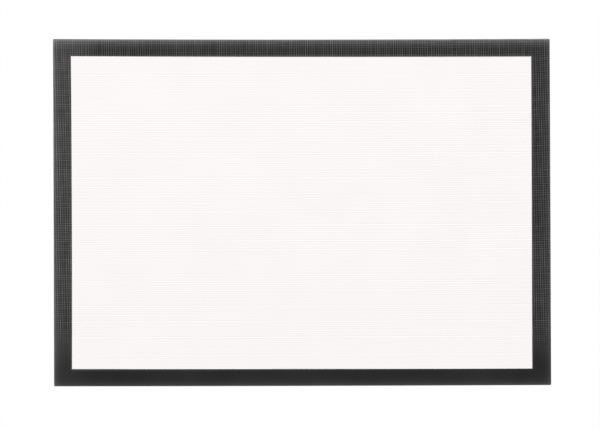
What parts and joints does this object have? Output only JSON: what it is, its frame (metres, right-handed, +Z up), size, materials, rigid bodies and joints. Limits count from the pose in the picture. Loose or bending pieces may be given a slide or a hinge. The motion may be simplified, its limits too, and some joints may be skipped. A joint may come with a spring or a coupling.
{
  "type": "silicone baking mat",
  "caption": "Thin flat rectangular baking mat of pale silicone over a glass-fibre mesh, with a charcoal silicone border on both faces.",
  "frame": {"origin": "middle of the underside, on the surface that the mat lies on", "axes": "+X along the length, +Y along the width towards the back edge, +Z up out of the baking face"},
  "size_m": [0.42, 0.293, 0.0007],
  "materials": {
    "pale_silicone": "satin translucent",
    "charcoal_silicone": "satin",
    "glass_fibre": "fibrous"
  },
  "bodies": {
    "root": {"lower_border": "charcoal_silicone", "lower_coat": "pale_silicone", "warp_yarns": "glass_fibre", "weft_yarns": "glass_fibre", "upper_coat": "pale_silicone", "upper_border": "charcoal_silicone"}
  },
  "joints": []
}
